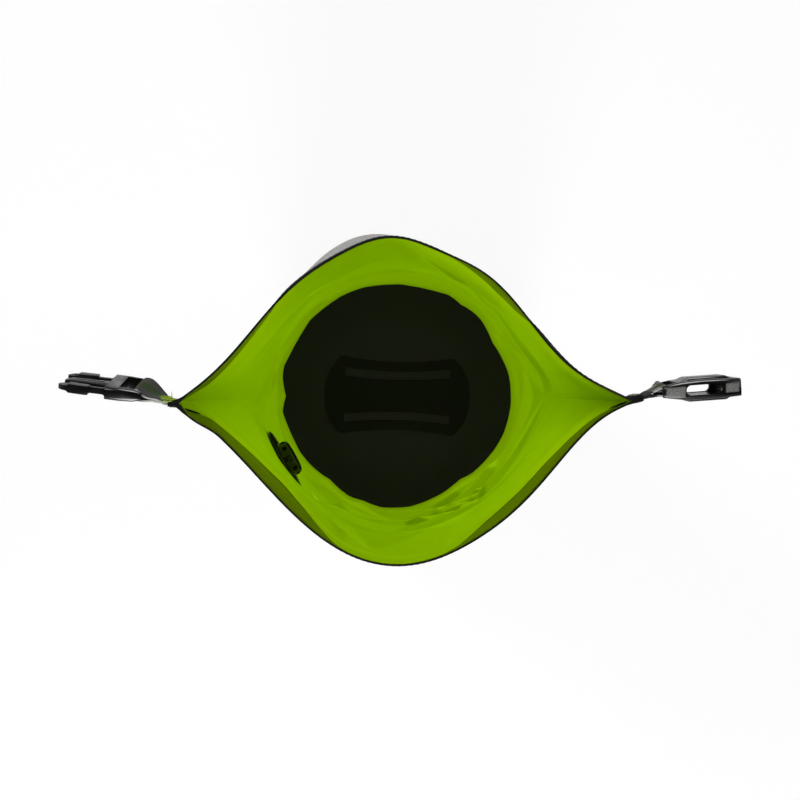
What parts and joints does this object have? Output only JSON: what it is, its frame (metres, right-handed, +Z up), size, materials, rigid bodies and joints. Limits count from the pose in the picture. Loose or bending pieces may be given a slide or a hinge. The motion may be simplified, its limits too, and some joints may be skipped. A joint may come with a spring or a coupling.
{
  "type": "roll-top dry bag",
  "caption": "Roll-top dry bag, open and standing on its base, with closure strips, side-release buckle, base handle and air valve",
  "frame": {"origin": "on the floor under the middle of the round base", "axes": "+Z up out of the mouth, +X along the mouth to the socket, +Y to the back lip"},
  "size_m": [0.376, 0.2032, 0.4831],
  "materials": {
    "lime_coating": "smooth coated fabric, lime green, slightly glossy",
    "heather_fabric": "woven fabric, light heather grey, matt",
    "base_fabric": "heavy coated fabric, near black, matt",
    "facing_fabric": "coated fabric, dark olive green",
    "closure_rubber": "stiff coated strip, near black, matt",
    "webbing": "flat woven webbing, grey with a green middle stripe",
    "buckle_plastic": "moulded plastic, black, fine texture",
    "valve_plastic": "moulded plastic, near black",
    "valve_rubber": "soft rubber, dark grey"
  },
  "bodies": {
    "bag": {"wall_panel": "lime_coating", "side_seam_tape": "heather_fabric", "base_cup": "base_fabric", "handle_doubler": "base_fabric", "handle_patch": "base_fabric", "handle_band": "webbing", "back_closure_strip": "closure_rubber", "front_closure_strip": "closure_rubber", "back_facing": "facing_fabric", "front_facing": "facing_fabric", "back_rim_binding": "closure_rubber", "front_rim_binding": "closure_rubber", "plug_tab_anchor": "webbing", "socket_tab_anchor": "webbing", "valve_body": "valve_plastic", "valve_gasket": "valve_rubber", "valve_ring": "valve_plastic"},
    "plug_tab": {"plug_tab_loop": "webbing"},
    "plug": {"plug_frame": "buckle_plastic"},
    "upper_arm": {"plug_arm_upper": "buckle_plastic"},
    "lower_arm": {"plug_arm_lower": "buckle_plastic"},
    "socket_tab": {"socket_tab_loop": "webbing"},
    "socket": {"socket_body": "buckle_plastic"},
    "cap": {"valve_cap": "valve_plastic"},
    "diaphragm": {"valve_diaphragm": "valve_rubber"}
  },
  "joints": [
    {"name": "plug_tab_swing", "type": "hinge", "parent": "bag", "child": "plug_tab", "pos_m": [-0.13371, 0.00092, 0.466], "axis": [0, 0, 1], "range_deg": [-70, 70]},
    {"name": "plug_pivot", "type": "hinge", "parent": "plug_tab", "child": "plug", "pos_m": [-0.1473, 0.0061, 0.466], "axis": [-0.0274, -0.2233, 0.9744], "range_deg": [-60, 60]},
    {"name": "upper_arm_squeeze", "type": "hinge", "parent": "plug", "child": "upper_arm", "pos_m": [-0.1649, 0.00554, 0.47769], "axis": [-0.1187, -0.9671, -0.225], "range_deg": [0, 9], "stiffness_Nm_per_rad": 1.5},
    {"name": "lower_arm_squeeze", "type": "hinge", "parent": "plug", "child": "lower_arm", "pos_m": [-0.16424, 0.0109, 0.45431], "axis": [0.1187, 0.9671, 0.225], "range_deg": [0, 9], "stiffness_Nm_per_rad": 1.5},
    {"name": "socket_tab_swing", "type": "hinge", "parent": "bag", "child": "socket_tab", "pos_m": [0.1337, 0.00105, 0.466], "axis": [0, 0, 1], "range_deg": [-65, 65]},
    {"name": "socket_pivot", "type": "hinge", "parent": "socket_tab", "child": "socket", "pos_m": [0.1438, 0.0059, 0.466], "axis": [0.003, -0.0435, 0.999], "range_deg": [-60, 60]},
    {"name": "cap_twist", "type": "hinge", "parent": "bag", "child": "cap", "pos_m": [-0.08746, -0.04808, 0.198], "axis": [-0.8763, -0.4818, 0], "range_deg": [0, 90]},
    {"name": "diaphragm_lift", "type": "slide", "parent": "bag", "child": "diaphragm", "axis": [-0.8763, -0.4818, 0], "range_m": [0, 0.0008], "stiffness_N_per_m": 25}
  ]
}
